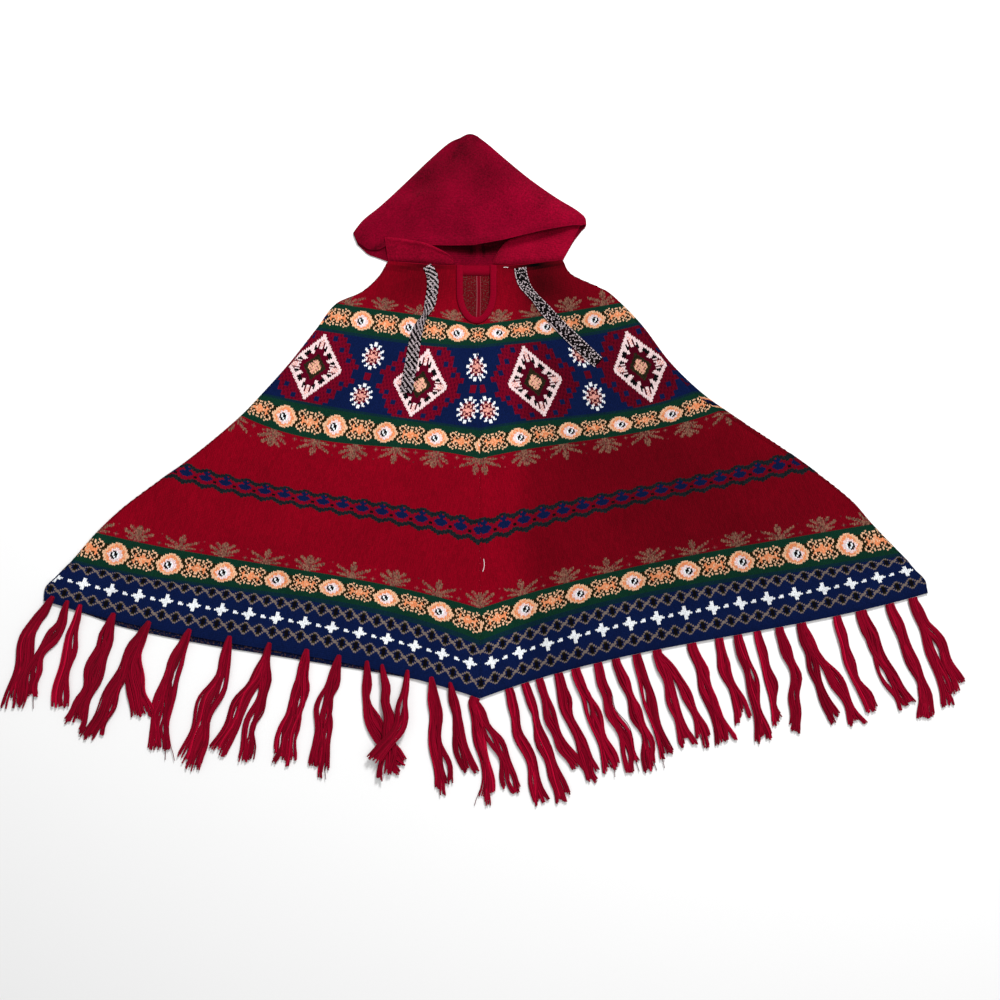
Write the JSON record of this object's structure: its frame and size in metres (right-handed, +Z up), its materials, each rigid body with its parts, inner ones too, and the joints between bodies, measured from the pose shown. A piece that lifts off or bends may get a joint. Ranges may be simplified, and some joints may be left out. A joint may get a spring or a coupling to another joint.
{
  "type": "hooded poncho cape",
  "caption": "Hooded knitted poncho cape with pattern bands, a neck slit, drawstring ends and a tasselled hem, laid flat with its front up.",
  "frame": {"origin": "under the middle of the box that holds the laid-out garment and its fringe, on the surface it lies on", "axes": "+X to the right of the picture, from one hem corner to the other; +Y to the hood; +Z up, out of the front of the garment"},
  "size_m": [1.6628, 1.1646, 0.0156],
  "materials": {
    "red_knit": "fine acrylic knit, deep red, with jacquard bands in navy, green, orange, khaki and white",
    "rib_knit": "red rib and plain knit of the hood, neck and binding",
    "yarn": "loose plied red yarn",
    "tape": "flat drawstring tape, black and white weave"
  },
  "bodies": {
    "root": {"back_left": "red_knit", "back_right": "red_knit", "front_left": "red_knit", "front_right": "red_knit", "slit_binding": "rib_knit", "neck_band": "rib_knit", "hood": "rib_knit", "hood_corner_left": "rib_knit", "hood_corner_right": "rib_knit", "tie_left": "tape", "tie_right": "tape", "tassel_01": "yarn", "tassel_02": "yarn", "tassel_03": "yarn", "tassel_04": "yarn", "tassel_05": "yarn", "tassel_06": "yarn", "tassel_07": "yarn", "tassel_08": "yarn", "tassel_09": "yarn", "tassel_10": "yarn", "tassel_11": "yarn", "tassel_12": "yarn", "tassel_13": "yarn", "tassel_14": "yarn", "tassel_15": "yarn", "tassel_16": "yarn", "tassel_17": "yarn", "tassel_18": "yarn", "tassel_19": "yarn", "tassel_20": "yarn", "tassel_21": "yarn", "tassel_22": "yarn", "tassel_23": "yarn", "tassel_24": "yarn", "tassel_25": "yarn", "tassel_26": "yarn", "tassel_27": "yarn", "tassel_28": "yarn", "tassel_29": "yarn", "tassel_30": "yarn", "tassel_31": "yarn", "tassel_32": "yarn", "tassel_33": "yarn", "tassel_34": "yarn", "tassel_35": "yarn"}
  },
  "joints": []
}
